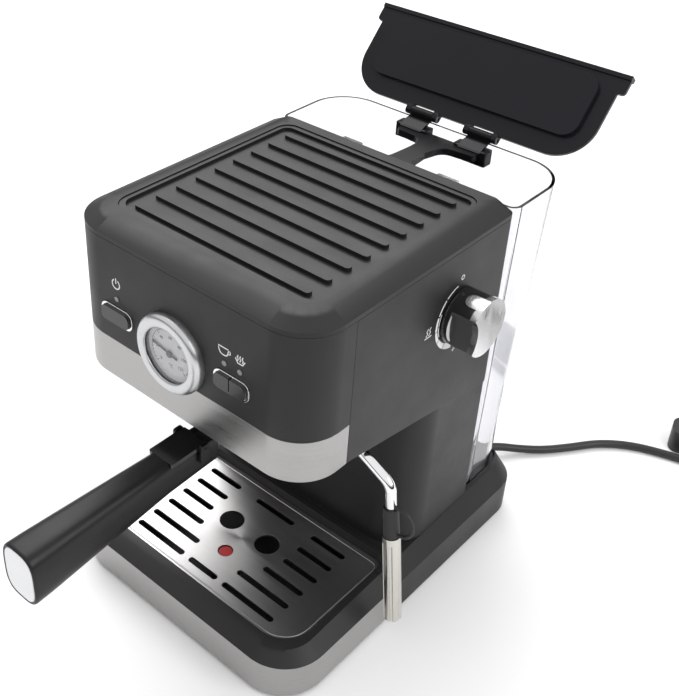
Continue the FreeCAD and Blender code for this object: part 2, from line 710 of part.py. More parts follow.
arm_top = tank_top - 3.4
arm_low = arm_top - 5.0
arm_front = tank_front + tank_wall + 0.2
lug_x = 25.0
lug_half = 9.0
bracket_half = 13.5
pin_radius = 1.5
left_lug = hinge_x - lug_x
right_lug = hinge_x + lug_x
arm = slab([(-13, arm_front, 0), (13, arm_front, 0), (8.5, 92, 3), (7.0, 110, 6), (11, hinge_y - 22.5, 9),
            (right_lug + 8, hinge_y - 20, 3), (right_lug + 8, hinge_y - 10.5, 3),
            (left_lug - 8, hinge_y - 10.5, 3), (left_lug - 8, hinge_y - 20, 3),
            (-7, hinge_y - 22.5, 9), (-7.0, 110, 6), (-8.5, 92, 3)],
           arm_low, arm_top)
lugs = []
for x in (left_lug, right_lug):
    lug = slab([(hinge_y - 15.0, arm_low, 0), (hinge_y - 6.7, arm_low, 0),
                (hinge_y - 6.7, 286.4, 0), (hinge_y - 3.5, 288.5, 0),
                (hinge_y + 3.4, 288.5, 3.3), (hinge_y + 3.4, hinge_z + 3.4, 3.3),
                (hinge_y - 3.4, hinge_z + 3.4, 3.3), (hinge_y - 3.4, 289.2, 0),
                (hinge_y - 8.0, 288.6, 0), (hinge_y - 15.0, 285.4, 0)],
               x - lug_half, x + lug_half, "yz")
    lugs.append(lug)
    lugs.append(block(x - bracket_half, x + bracket_half, hinge_y - 14.0, hinge_y - 4.1,
                      arm_low - 4.0, 286.0, 1.5))
arm = fused([arm] + lugs)
arm = arm.cut(cylinder(pin_radius, (-60, hinge_y, hinge_z), (60, hinge_y, hinge_z)))
save("tank_bridge", arm)
pins = []
for x in (left_lug, right_lug):
    pins.append(cylinder(pin_radius - 0.02, (x - bracket_half + 0.6, hinge_y, hinge_z),
                         (x + bracket_half - 0.6, hinge_y, hinge_z)))
save("hinge_pins", Part.makeCompound(pins))

# ---- lid, drawn closed and then opened about its pins
lid_low = tank_top + 1.6
lid_high = lid_low + 2.6
lid_front = tank_front + 0.4
lid_back = hinge_y - 1.9
lid_half = 97.5
ear_reach = 5.0
lid_left = lid_x - lid_half
lid_right = lid_x + lid_half
lid = block(lid_left, lid_right, lid_front, lid_back, lid_low, lid_high, [3, 3, 28, 28])
ears = block(lid_left - ear_reach, lid_right + ear_reach, lid_front, lid_front + 14, lid_low,
             lid_high, 3)
lip = block(lid_left - ear_reach, lid_right + ear_reach, lid_front, lid_front + 3.0, lid_low - 1.2,
            lid_high + 2.5, 0)
panel_rise = 3.6
inner_panel = block(lid_left + 12, lid_right - 12, lid_front + 7.4, lid_back - 14.5,
                    lid_low - panel_rise, lid_low + 0.5, 11)
lid = fused([lid, ears, lip, inner_panel])
for x in (left_lug, right_lug):
    lid = lid.cut(block(x - lug_half - gap, x + lug_half + gap, hinge_y - 4.0, lid_back + 1,
                        200, 400, 0))
knuckles = []
for x in (left_lug, right_lug):
    for s in (-1, 1):
        inner = x + s * (lug_half + gap)
        outer = x + s * bracket_half
        ear = slab([(hinge_y - 4.5, lid_low, 0), (hinge_y - 2.0, 288.7, 0),
                    (hinge_y + 3.4, 288.7, 3.2), (hinge_y + 3.4, hinge_z + 3.3, 3.2),
                    (hinge_y - 3.4, hinge_z + 3.3, 3.2), (hinge_y - 6.5, lid_high, 0),
                    (hinge_y - 8.0, lid_high, 0), (hinge_y - 8.0, lid_low, 0)],
                   min(inner, outer), max(inner, outer), "yz")
        knuckles.append(ear)
lid = fused([lid] + knuckles)
lid = lid.cut(cylinder(pin_radius + fit, (-60, hinge_y, hinge_z), (60, hinge_y, hinge_z)))
lid.rotate(V(0, hinge_y, hinge_z), V(1, 0, 0), -lid_open_angle)
save("tank_lid", lid)

# ---- works inside the body
pump = block(-24, 24, 18, 50, column_seat_z + 3.2, 118, 6)
pump = pump.fuse(cylinder(13, (0, 34, 118), (0, 34, 140)))
save("pump", pump.removeSplitter())
hose_runs = [
    ([(0, seat_hole_y, 23.9), (0, seat_hole_y, 16), (0, 60, 16), (0, 60, 67), (0, 50.1, 67)],
     3.0, 5.0),
    ([(0, 34, 140.1), (0, 34, 165), (-30, 45, 176), (-30, 45, 212), (-30, -10, 212),
      (-21.0, -28.2, 212)], 3.0, 8.0),
    ([(34.3, group_y, 222), (46, group_y, 222), (46, knob_y, 240),
      (half - 42.1, knob_y, 240)], 2.5, 5.0)]
hoses = [swept(points, radius, bend)[0] for points, radius, bend in hose_runs]
save("water_hoses", Part.makeCompound(hoses))

# ---- lead
relief_way = V(0.574, 0.819, 0)
exit_at = V(gland_x, base_back + 0.1, gland_z)
relief_end = exit_at + relief_way * 22.0 + V(0, 0, -0.5)
relief = cylinder(5.9, (gland_x, base_back - 7, gland_z), (gland_x, base_back + 1.0, gland_z))
relief = relief.fuse(cylinder(8.0, (gland_x, base_back + 0.2, gland_z),
                              (gland_x, base_back + 3.2, gland_z)))
relief = relief.fuse(cone(6.4, 4.3, (exit_at.x, exit_at.y + 1.5, exit_at.z),
                          (relief_end.x, relief_end.y, relief_end.z)))
coil_at = V(289.0, 369.0, 0)
entry_angle = -60.0
leave_angle = 190.0
coil_rise = 7.0
coil_turns = (leave_angle - entry_angle + 720.0) / 360.0
lay_z = 3.5


def on_coil(degrees, z):
    a = math.radians(degrees)
    return (coil_at.x + coil_radius * math.cos(a), coil_at.y + coil_radius * math.sin(a), z)


entry = on_coil(entry_angle, lay_z)
leave = on_coil(leave_angle, lay_z + coil_rise * coil_turns)
lead_points = [(relief_end.x, relief_end.y, relief_end.z), (68.0, 176.5, 8.8), (81, 190, 5.2),
               (96, 204.5, 3.8), (111, 224, 3.5), (126, 246, 3.5), (147, 262.5, 3.5),
               (172, 272.5, 3.5), (198, 279, 3.5), (224, 288, 3.5), (250, 300.5, 3.5),
               (278.5, 318, 3.5), entry]
neck_tip = V(220.6, 309.9, 11.0)
plug_angle = 17.46
tail_points = [leave, (255.9, 345.2, 20.2), (250.4, 327.9, 15.8), (237.7, 315.3, 12.2),
               (neck_tip.x, neck_tip.y, neck_tip.z)]
coil = Part.makeCylinder(coil_radius + cord_radius + 0.2, lay_z + coil_rise * coil_turns + 3.1,
                         coil_at + V(0, 0, 0.2))
coil = coil.cut(Part.makeCylinder(coil_radius - cord_radius - 0.2, 60, coil_at))
save("cord_coil", coil)
for name, points in (("cord_tube", lead_points), ("cord_tail", tail_points)):
    tube, length, bends = swept(points, cord_radius)
    print(name, "length", round(length, 1), "radii", [round(r, 1) for r in bends],
          "volume over section times length",
          round(tube.Volume / (PI * cord_radius ** 2 * length), 4))
    tube = tube.cut(coil)
    if name == "cord_tube":
        save("cord_relief", relief.removeSplitter().cut(tube))
    save(name, max(tube.Solids, key=lambda s: s.Volume))


def lay_plug(shape):
    shape.translate(V(-56.0, 0, 0))
    shape.rotate(V(0, 0, 0), V(0, 0, 1), plug_angle)
    shape.translate(neck_tip)
    return shape


plug = block(0, 38, -12, 12, -10, 10, [9, 6, 6, 9])
plug = plug.fuse(cone(7.6, 4.4, (37, 0, 0), (55.9, 0, 0)))
plug_body = lay_plug(plug.removeSplitter())
save("plug_body", plug_body)
blades = []
for x in (9.5, 28.5):
    blades.append(cylinder(2.4, (x, 12.05, 0), (x, 31, 0)))
save("plug_pins", lay_plug(Part.makeCompound(blades)))

print(len(made), "nodes")
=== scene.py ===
import math
import bmesh
import bpy
from mathutils import Matrix, Vector


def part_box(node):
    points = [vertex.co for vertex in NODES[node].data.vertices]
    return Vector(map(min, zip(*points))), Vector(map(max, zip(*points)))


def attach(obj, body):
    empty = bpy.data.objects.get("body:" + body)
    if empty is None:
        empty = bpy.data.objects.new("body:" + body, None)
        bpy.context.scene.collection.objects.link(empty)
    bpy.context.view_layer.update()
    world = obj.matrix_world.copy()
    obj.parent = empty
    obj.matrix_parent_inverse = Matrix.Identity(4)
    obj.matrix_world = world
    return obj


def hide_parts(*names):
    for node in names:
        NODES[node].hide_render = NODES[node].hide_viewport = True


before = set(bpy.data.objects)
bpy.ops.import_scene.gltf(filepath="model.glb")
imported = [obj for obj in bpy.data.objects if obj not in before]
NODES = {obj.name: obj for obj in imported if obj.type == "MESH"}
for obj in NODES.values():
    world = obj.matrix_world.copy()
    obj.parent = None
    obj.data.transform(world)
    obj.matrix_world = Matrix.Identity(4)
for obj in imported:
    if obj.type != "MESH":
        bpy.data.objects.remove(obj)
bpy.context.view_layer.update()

MM = 0.001
SCENE = bpy.context.scene


# ---------------------------------------------------------------- camera and stage
def make_camera(place, azimuth, elevation, roll, lens, shift):
    """A camera in millimetres and degrees; azimuth 0 looks along +Y."""
    a, e, r = (math.radians(v) for v in (azimuth, elevation, roll))
    forward = Vector((-math.sin(a) * math.cos(e), math.cos(a) * math.cos(e),
                      -math.sin(e)))
    level = Vector((math.cos(a), math.sin(a), 0))
    upright = level.cross(forward)
    right = level * math.cos(r) + upright * math.sin(r)
    up = right.cross(forward)
    data = bpy.data.cameras.new("camera")
    data.sensor_width = 36.0
    data.lens = lens
    data.shift_x, data.shift_y = shift
    data.clip_start, data.clip_end = 0.01, 100
    camera = bpy.data.objects.new("camera", data)
    turn = Matrix((right, up, -forward)).transposed()
    camera.matrix_world = Matrix.Translation(Vector(place) * MM) @ turn.to_4x4()
    SCENE.collection.objects.link(camera)
    SCENE.camera = camera


make_camera(place=(378.62, -468.54, 619.69), azimuth=42.17, elevation=33.58, roll=1.18,
            lens=55.88, shift=(0.11506, -0.0865))


def area_light(name, place, target, size, power):
    """A square white lamp at a place in metres, turned to its target."""
    data = bpy.data.lights.new(name, "AREA")
    data.shape = "RECTANGLE"
    data.size = data.size_y = size
    data.energy = power
    lamp = bpy.data.objects.new(name, data)
    lamp.location = Vector(place)
    lamp.rotation_mode = "QUATERNION"
    aim = Vector(target) - Vector(place)
    lamp.rotation_quaternion = aim.to_track_quat("-Z", "Y")
    SCENE.collection.objects.link(lamp)


# ---------------------------------------------------------------- material building
NOISE_LOW, NOISE_HIGH = 0.3, 0.7        # where nearly all of a noise's values lie
PAIR_LOW, PAIR_HIGH = 0.75, 1.25        # the same for the sum of two noises


class Nodes:
    """A short way to write a node material."""

    def __init__(self, name):
        self.material = bpy.data.materials.new(name)
        self.material.use_nodes = True
        self.tree = self.material.node_tree
        self.shader = self.tree.nodes["Principled BSDF"]
        self.coords = self.tree.nodes.new("ShaderNodeTexCoord").outputs["Object"]

    def add(self, kind, inputs=None, **settings):
        node = self.tree.nodes.new("ShaderNode" + kind)
        for key, value in settings.items():
            setattr(node, key, value)
        for key, value in (inputs or {}).items():
            self.put(node, key, value)
        return node

    def put(self, node, key, value):
        if isinstance(value, bpy.types.NodeSocket):
            self.tree.links.new(value, node.inputs[key])
        else:
            node.inputs[key].default_value = value

    def set(self, **values):
        for key, value in values.items():
            self.put(self.shader, key.replace("_", " "), value)

    def fix(self, **values):
        """Sets plain numbers on the shader's own sockets."""
        for key, value in values.items():
            self.shader.inputs[key.replace("_", " ")].default_value = value

    def noise(self, scale, detail=4.0, stretch=None, rough=0.5):
        """Noise from 0 to 1; stretch scales the axes one by one."""
        vector = self.coords
        if stretch:
            vector = self.add("Mapping", {"Vector": vector, "Scale": stretch}).outputs[0]
        return self.add("TexNoise", {"Vector": vector, "Scale": scale, "Detail": detail,
                                     "Roughness": rough}).outputs["Fac"]

    def span(self, value, low, high, from_low=NOISE_LOW, from_high=NOISE_HIGH):
        """Maps a value from its own range to low and high."""
        return self.add("MapRange", {"Value": value, "From Min": from_low,
                                     "From Max": from_high, "To Min": low,
                                     "To Max": high}).outputs["Result"]

    def mix(self, factor, first, second):
        node = self.add("Mix", data_type="RGBA")
        self.put(node, 0, factor)
        self.put(node, 6, first)
        self.put(node, 7, second)
        return node.outputs[2]

    def ramp(self, value, low, high, from_low=NOISE_LOW, from_high=NOISE_HIGH):
        """Blends two colours or greys by a value."""
        return self.mix(self.span(value, 0, 1, from_low, from_high), rgba(low), rgba(high))

    def bump(self, height, strength, distance, base=None):
        inputs = {"Height": height, "Strength": strength, "Distance": distance}
        if base is not None:
            inputs["Normal"] = base
        return self.add("Bump", inputs).outputs["Normal"]


def rgba(colour):
    """A grey or an RGB colour as four numbers."""
    if isinstance(colour, (int, float)):
        colour = (colour, colour, colour)
    return (*colour, 1.0)


def moulded(name, dark, light, rough=0.42):
    """Moulded plastic: spark-eroded grain, faint flow marks, rubbed patches."""
    n = Nodes(name)
    flow = n.noise(6.0, 3.0)
    grit = n.noise(2600, 2.0)
    rubbed = n.noise(28.0, 5.0, rough=0.6)
    n.set(Base_Color=n.ramp(flow, dark, light))
    n.set(Roughness=n.span(rubbed, rough - 0.05, rough + 0.06))
    dimple = n.bump(grit, 0.35, 0.00005)
    n.set(Normal=n.bump(rubbed, 0.08, 0.0004, dimple))
    n.fix(Specular_IOR_Level=0.32)
    return n.material


def glossy(name, colour, rough=0.12, coat=0.6, specular=0.5):
    """Gloss plastic: slight orange peel and fine wipe marks."""
    n = Nodes(name)
    peel = n.noise(140.0, 2.0)
    wipes = n.noise(9.0, 6.0, stretch=(1.0, 3.0, 2.0), rough=0.6)
    n.set(Base_Color=n.ramp(n.noise(12.0), [c * 0.85 for c in colour], colour))
    n.set(Roughness=n.span(wipes, rough * 0.85, rough * 1.25))
    n.set(Normal=n.bump(peel, 0.06, 0.0003))
    n.fix(Specular_IOR_Level=specular, Coat_Weight=coat, Coat_Roughness=0.08)
    return n.material


def brushed(name, colour, stretch, rough=0.3, lines=900.0, strength=0.25):
    """Brushed steel: fine scratches, long on the axes whose stretch is small."""
    n = Nodes(name)
    fine = n.noise(lines, 3.0, stretch=stretch, rough=0.6)
    wide = n.noise(lines * 0.16, 3.0, stretch=stretch, rough=0.6)
    cloud = n.noise(9.0, 3.0)
    both = n.add("Math", {0: fine, 1: wide}, operation="ADD").outputs[0]
    dark = [c * 0.93 for c in colour]
    n.set(Base_Color=n.ramp(both, dark, colour, PAIR_LOW, PAIR_HIGH))
    n.set(Roughness=n.span(both, rough - 0.03, rough + 0.05, PAIR_LOW, PAIR_HIGH))
    n.set(Metallic=1.0)
    n.set(Normal=n.bump(cloud, 0.03, 0.001, n.bump(both, strength, 0.00003)))
    n.fix(Anisotropic=0.55)
    return n.material


def plated(name, colour=(0.86, 0.86, 0.87), rough=0.05):
    """Chrome plate: mirror with faint swirl marks and a slow waviness."""
    n = Nodes(name)
    swirl = n.noise(420.0, 4.0, stretch=(1.0, 1.0, 0.2), rough=0.7)
    wave = n.noise(45.0, 2.0)
    n.set(Base_Color=n.ramp(n.noise(30.0), [c * 0.95 for c in colour], colour))
    n.set(Roughness=n.span(swirl, rough * 0.7, rough * 2.0))
    n.set(Metallic=1.0)
    n.set(Normal=n.bump(wave, 0.03, 0.0005))
    return n.material


def rubbery(name, dark, light, rough=0.6):
    """Rubber or cable sheath: fine grain with dust in patches."""
    n = Nodes(name)
    dust = n.noise(60.0, 6.0, rough=0.7)
    n.set(Base_Color=n.ramp(dust, dark, light, 0.35, 0.75))
    n.set(Roughness=n.span(dust, rough - 0.08, rough + 0.1))
    n.set(Normal=n.bump(n.noise(1800.0, 2.0), 0.3, 0.00004))
    return n.material


def cast(name, colour, rough=0.4):
    """Cast or turned metal with a gritty surface."""
    n = Nodes(name)
    grit = n.noise(700.0, 4.0)
    n.set(Base_Color=n.ramp(n.noise(20.0), [c * 0.8 for c in colour], colour))
    n.set(Roughness=n.span(grit, rough - 0.08, rough + 0.12))
    n.set(Metallic=1.0)
    n.set(Normal=n.bump(grit, 0.3, 0.00012))
    return n.material


def clear(name, colour, rough=0.02, tint=(1, 1, 1)):
    """Clear plastic or glass, slightly clouded and wavy."""
    n = Nodes(name)
    n.set(Base_Color=n.ramp(n.noise(14.0), colour, tint))
    n.set(Roughness=n.span(n.noise(30.0, 4.0), rough, rough * 3 + 0.01))
    n.fix(Transmission_Weight=1.0, IOR=1.46)
    n.set(Normal=n.bump(n.noise(18.0, 2.0), 0.02, 0.0006))
    return n.material


CASING = moulded("casing", 0.0120, 0.0150, rough=0.45)
COVER = moulded("cover", 0.0100, 0.0125, rough=0.42)
TRAY_RIBBED = moulded("cup_rest", 0.0120, 0.0150, rough=0.40)
BASE = moulded("base_casing", 0.0140, 0.0175, rough=0.45)
HANDLE = moulded("handle", 0.0050, 0.0070, rough=0.36)
GLOSS_BLACK = glossy("gloss_black", (0.014, 0.014, 0.015), rough=0.2, coat=0.35)
GUARD_BLACK = glossy("guard_black", (0.008, 0.008, 0.008), rough=0.2, coat=0.3)
LID_BLACK = glossy("lid_black", (0.010, 0.010, 0.0135), rough=0.2, coat=0.0,
                   specular=0.18)
BRIDGE_BLACK = glossy("bridge_black", (0.007, 0.007, 0.008), rough=0.28, coat=0.0,
                      specular=0.15)
BUTTON_BLACK = glossy("button_black", (0.010, 0.010, 0.011), rough=0.3, coat=0.2)
BAND = brushed("band_steel", (0.40, 0.395, 0.39), (0.03, 0.03, 1.0), rough=0.3,
               lines=3600.0, strength=0.06)
PLATE = brushed("plate_steel", (0.52, 0.515, 0.51), (0.02, 1.0, 1.0), rough=0.32,
                lines=3600.0, strength=0.05)
FROTH = brushed("froth_steel", (0.64, 0.62, 0.58), (1.0, 1.0, 0.05), rough=0.16,
                strength=0.15)
SATIN = brushed("gauge_silver", (0.60, 0.605, 0.62), (1.0, 1.0, 1.0), rough=0.3,
                lines=700.0, strength=0.03)
CHROME = plated("chrome")
CHROME_CAP = plated("cap_chrome", (0.74, 0.74, 0.75), 0.14)
# painted shade: a dark grey for the gauge's recessed inner wall and for a line on the knob's
# chrome face
SHADE_GREY = moulded("painted_shade_grey", 0.05, 0.07, rough=0.4)
STEEL = plated("plated_steel", (0.2, 0.2, 0.21), 0.25)
RUBBER = rubbery("rubber", 0.012, 0.02)
SCOOP = moulded("knob_scoop", 0.055, 0.065, rough=0.5)
CABLE = rubbery("cable", 0.010, 0.015, 0.42)
PLUG = moulded("plug_black", 0.010, 0.013, rough=0.4)
CAST = cast("cast_metal", (0.5, 0.5, 0.5))
BRASS = cast("brass", (0.6, 0.42, 0.18), 0.3)
WHITE = glossy("cap_white", (0.80, 0.81, 0.83), rough=0.15)
DIAL = moulded("dial_white", (0.84, 0.84, 0.88), (0.88, 0.88, 0.92), rough=0.5)


EDGE_BLUR = 0.0004                      # metres over which the float's colour changes
RED_TOP = 4.0                           # mm of the float that are red, from its top


def float_red(name, top, foot, level):
    """Red plastic whose foot, below a height in metres, is black."""
    n = Nodes(name)
    split = n.add("SeparateXYZ", {"Vector": n.coords})
    share = n.span(split.outputs["Z"], 0.0, 1.0, level - EDGE_BLUR, level)
    cloud = n.noise(60.0, 3.0)
    n.set(Base_Color=n.mix(share, n.ramp(cloud, [c * 0.8 for c in foot], foot),
                           n.ramp(cloud, [c * 0.8 for c in top], top)))
    n.set(Roughness=n.span(cloud, 0.3, 0.42))
    n.set(Normal=n.bump(n.noise(900.0, 2.0), 0.15, 0.00004))
    return n.material


RED = float_red("float_red", (0.40, 0.006, 0.004), (0.01, 0.01, 0.01),
                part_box("drip_float")[1][2] - RED_TOP * MM)
TANK_CLEAR = clear("tank_clear", (0.84, 0.845, 0.87), tint=(0.88, 0.88, 0.90))
LENS = clear("lens_clear", (0.98, 0.98, 0.985), 0.01)
INK = moulded("ink_white", 0.75, 0.82, rough=0.6)
INK_BLACK = moulded("ink_black", 0.010, 0.014, rough=0.6)
LAMP = glossy("lamp_grey", (0.16, 0.16, 0.155), rough=0.25)
BOARD = moulded("board_green", (0.02, 0.10, 0.04), (0.03, 0.13, 0.05), rough=0.4)
HOSE = rubbery("hose_silicone", 0.5, 0.6, 0.5)


# ---------------------------------------------------------------- dressing the CAD nodes
SHARP_ANGLE = math.radians(28)          # edges above this stay hard in CAD nodes
BEVEL_ANGLE = math.radians(32)          # edges above this are eased
BEVEL_SEGMENTS = 3
WELD_GAP = 0.00001                      # metres
NORMAL_WEIGHT = 60


def dress(material, names, bevel=0.0):
    """Gives CAD nodes their material, smooth shading and edges eased by mm."""
    for name in names.split():
        o = NODES[name]
        if not o.material_slots:
            o.data.materials.append(material)
        for s in o.material_slots:
            s.material = material
        for p in o.data.polygons:
            p.use_smooth = True
        o.data.set_sharp_from_angle(angle=SHARP_ANGLE)
        if bevel:
            weld = o.modifiers.new("weld", "WELD")
            weld.merge_threshold = WELD_GAP
            ease = o.modifiers.new("ease", "BEVEL")
            ease.width = bevel * MM
            ease.segments = BEVEL_SEGMENTS
            ease.limit_method = "ANGLE"
            ease.angle_limit = BEVEL_ANGLE
            ease.use_clamp_overlap = True
        even = o.modifiers.new("even", "WEIGHTED_NORMAL")
        even.keep_sharp = True
        even.weight = NORMAL_WEIGHT


dress(CASING, "column_shell head_shell", 0.5)
dress(CASING, "front_panel", 0.15)
dress(CASING, "head_floor", 0.3)
dress(BASE, "base_shell drip_tray", 0.6)
dress(BASE, "base_cover", 0.4)
dress(COVER, "top_cover", 0.9)
dress(TRAY_RIBBED, "cup_tray", 0.6)
dress(BAND, "head_band tray_band", 0.25)
dress(PLATE, "drip_plate", 0.25)
dress(SATIN, "gauge_housing gauge_bezel", 0.4)
dress(DIAL, "gauge_dial")
dress(LENS, "gauge_lens", 0.2)
dress(INK_BLACK, "gauge_needle")
dress(BUTTON_BLACK, "power_button coffee_button steam_button", 0.7)
dress(CHROME, "button_surrounds", 0.25)
dress(LAMP, "indicator_lamps", 0.15)
dress(BOARD, "control_board")
dress(GLOSS_BLACK, "knob_body", 0.6)
dress(CHROME_CAP, "knob_cap", 0.6)
dress(BRASS, "knob_spindle steam_valve", 0.4)
dress(CHROME, "wand_socket wand_pipe filter_collar", 0.2)
dress(FROTH, "froth_tube", 0.2)
dress(RUBBER, "wand_sleeve feet group_gasket tank_seat", 0.2)
dress(CAST, "group_head boiler", 0.6)
dress(STEEL, "shower_screen filter_basket base_screws", 0.1)
dress(STEEL, "button_springs guard_pin hinge_pins", 0.1)
dress(HANDLE, "handle_grip twin_spout", 0.5)
dress(WHITE, "handle_cap", 0.4)
dress(GUARD_BLACK, "filter_guard", 0.4)
dress(RED, "drip_float", 0.4)
dress(TANK_CLEAR, "tank")
dress(PLUG, "tank_valve pump", 0.3)
dress(LID_BLACK, "tank_lid", 0.5)
dress(BRIDGE_BLACK, "tank_bridge", 0.5)
dress(HOSE, "water_hoses")
dress(CABLE, "cord_relief plug_body", 0.8)
dress(BRASS, "plug_pins", 0.5)


# ---------------------------------------------------------------- new pieces
def link(name, data, body, material):
    """Puts a new piece in the scene, on its body."""
    o = bpy.data.objects.new(name, data)
    SCENE.collection.objects.link(o)
    data.materials.append(material)
    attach(o, body)
    return o


def middle(name):
    """The middle of a CAD node's box, in millimetres."""
    low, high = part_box(name)
    return (Vector(low) + Vector(high)) / 2 / MM


def mesh_piece(name, verts, faces, body, material, smooth=True):
    """A piece from points in millimetres and its faces."""
    mesh = bpy.data.meshes.new(name)
    mesh.from_pydata([Vector(v) * MM for v in verts], [], faces)
    mesh.validate()
    mesh.update()
    for face in mesh.polygons:
        face.use_smooth = smooth
    if smooth:
        mesh.set_sharp_from_angle(angle=math.radians(30))
    return link(name, mesh, body, material)


MERGE_DISTANCE = 1e-6


def mend(o, merge=False):
    """Turns a piece's faces outwards, and can first merge points that coincide."""
    whole = bmesh.new()
    whole.from_mesh(o.data)
    if merge:
        bmesh.ops.remove_doubles(whole, verts=whole.verts, dist=MERGE_DISTANCE)
    bmesh.ops.recalc_face_normals(whole, faces=whole.faces)
    whole.to_mesh(o.data)
    whole.free()


def lathe(name, profile, centre, body, material, segments=128):
    """Turns (radius, depth) points about a line along Y; depth runs backwards."""
    across, up, along = Vector((0, 0, 1)), Vector((1, 0, 0)), Vector((0, 1, 0))
    centre = Vector(centre)
    verts, faces = [], []
    for i in range(segments):
        t = 2 * math.pi * i / segments
        spoke = across * math.cos(t) + up * math.sin(t)
        for radius, depth in profile:
            verts.append(centre + spoke * radius + along * depth)
    n = len(profile)
    for i in range(segments):
        j = (i + 1) % segments
        for k in range(n - 1):
            faces.append((i * n + k, i * n + k + 1, j * n + k + 1, j * n + k))
    o = mesh_piece(name, verts, faces, body, material)
    mend(o, merge=True)
    return o


def arc(cx, cy, radius, start, end, steps=14):
    """Points on an arc between two angles in degrees."""
    out = []
    for i in range(steps + 1):
        t = math.radians(start + (end - start) * i / steps)
        out.append((cx + radius * math.cos(t), cy + radius * math.sin(t)))
    return out


STROKE_SINK = 0.1                       # how far printed lines reach into a surface


def strokes(name, lines, place, body, material, rise=0.12):
    """Printed lines: (points, width or a width per point, closed), in (u, v)."""
    verts, faces = [], []
    for points, width, closed in lines:
        count = len(points)
        widths = width if isinstance(width, (list, tuple)) else [width] * count
        first = len(verts)
        for i, (u, v) in enumerate(points):
            before = points[i - 1] if i or closed else points[i]
            after = points[(i + 1) % count] if i < count - 1 or closed else points[i]
            du, dv = after[0] - before[0], after[1] - before[1]
            size = math.hypot(du, dv) or 1.0
            nu, nv = -dv / size * widths[i] / 2, du / size * widths[i] / 2
            for side, height in ((1, -STROKE_SINK), (1, rise), (-1, rise), (-1, -STROKE_SINK)):
                verts.append(place(u + side * nu, v + side * nv, height))
        for i in range(count if closed else count - 1):
            a, b = first + 4 * i, first + 4 * ((i + 1) % count)
            for k in range(3):
                faces.append((a + k, a + k + 1, b + k + 1, b + k))
        if not closed:
            faces.append((first, first + 1, first + 2, first + 3))
            last = first + 4 * (count - 1)
            faces.append((last + 3, last + 2, last + 1, last))
    return mesh_piece(name, verts, faces, body, material, smooth=False)


LABEL_THICK = 0.04


def label(name, text, size, at, body, material):
    """Small figures that face the front."""
    data = bpy.data.curves.new(name, "FONT")
    data.body = text
    data.size = size * MM
    data.extrude = LABEL_THICK * MM
    data.align_x, data.align_y = "CENTER", "CENTER"
    o = link(name, data, body, material)
    o.rotation_euler = (math.radians(90), 0, 0)
    o.location = Vector(at) * MM
    return o


# ---------------------------------------------------------------- mains lead
CORD_RADIUS = 3.3
COIL_AT = (289.0, 369.0)
COIL_RADIUS = 37.0
ENTRY_ANGLE, LEAVE_ANGLE = -60.0, 190.0
COIL_RISE = 7.0
LAY_Z = 3.5
COIL_TURNS = 2                          # whole turns, besides entry to leave
LEAD = [(58.63, 161.12, 11.5), (68.0, 176.5, 8.8), (81, 190, 5.2), (96, 204.5, 3.8),
        (111, 224, 3.5), (126, 246, 3.5), (147, 262.5, 3.5), (172, 272.5, 3.5),
        (198, 279, 3.5), (224, 288, 3.5), (250, 300.5, 3.5), (278.5, 318, 3.5)]
TAIL = [(255.9, 345.2, 20.2), (250.4, 327.9, 15.8), (237.7, 315.3, 12.2),
        (220.6, 309.9, 11.0)]
STEPS_PER_TURN = 16


def coil_points():
    """The coil's control points, set out so that the curve keeps its radius."""
    total = LEAVE_ANGLE - ENTRY_ANGLE + 360.0 * COIL_TURNS
    count = round(total / 360.0 * STEPS_PER_TURN)
    reach = COIL_RADIUS / math.cos(math.pi / STEPS_PER_TURN) ** 0.5
    points = []
    for i in range(count + 1):
        share = i / count
        a = math.radians(ENTRY_ANGLE + total * share)
        points.append((COIL_AT[0] + reach * math.cos(a),
                       COIL_AT[1] + reach * math.sin(a),
                       LAY_Z + COIL_RISE * total / 360.0 * share))
    return points


def spline_length(curve):
    """Length in metres of a curve object's line, before it has a thickness."""
    mesh = bpy.data.meshes.new_from_object(curve)
    total = sum((mesh.vertices[i + 1].co - mesh.vertices[i].co).length
                for i in range(len(mesh.vertices) - 1))
    bpy.data.meshes.remove(mesh)
    return total


def make_cord():
    """The mains lead as one open curve from the relief to the plug."""
    data = bpy.data.curves.new("mains_lead", "CURVE")
    data.dimensions = "3D"
    spline = data.splines.new("NURBS")
    points = LEAD + coil_points() + TAIL
    spline.points.add(len(points) - 1)
    for p, (x, y, z) in zip(spline.points, points):
        p.co = (x * MM, y * MM, z * MM, 1.0)
        p.radius = CORD_RADIUS * MM
    spline.order_u = 3
    spline.use_endpoint_u = True
    spline.resolution_u = 8
    lead = link("mains_lead", data, "housing", CABLE)
    bpy.context.view_layer.update()
    length = spline_length(lead)
    data.bevel_depth = 1.0
    data.bevel_resolution = 8
    print("lead length", round(length, 4))
    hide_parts("cord_tube", "cord_coil", "cord_tail")


make_cord()

# ---------------------------------------------------------------- gauge
hub = middle("gauge_dial")
face_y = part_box("gauge_bezel")[0][1] / MM
panel_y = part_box("front_panel")[0][1] / MM
dial_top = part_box("gauge_dial")[0][1] / MM
housing_low, housing_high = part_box("gauge_housing")
rim = (housing_high[0] - housing_low[0]) / 2 / MM
window = rim - 8.3
depth = panel_y - face_y
ring_profile = [(rim - 3.6, depth + 3.0), (rim - 0.15, depth + 0.05), (rim - 0.1, depth - 0.3),
                (rim - 0.25, 3.4), (rim - 0.55, 2.5), (rim - 1.15, 1.55), (rim - 2.1, 0.8),
                (rim - 3.2, 0.35), (rim - 4.4, 0.22), (rim - 5.8, 0.3), (rim - 7.2, 0.55),
                (rim - 7.7, 0.75), (window + 0.15, 1.1), (window, 1.6), (window + 0.2, 1.75),
                (window + 2.4, 1.9)]
well_profile = [(window + 2.4, 1.95), (window + 0.25, 1.8), (window + 0.2, dial_top - face_y),
                (window + 2.4, dial_top - face_y + 0.4)]
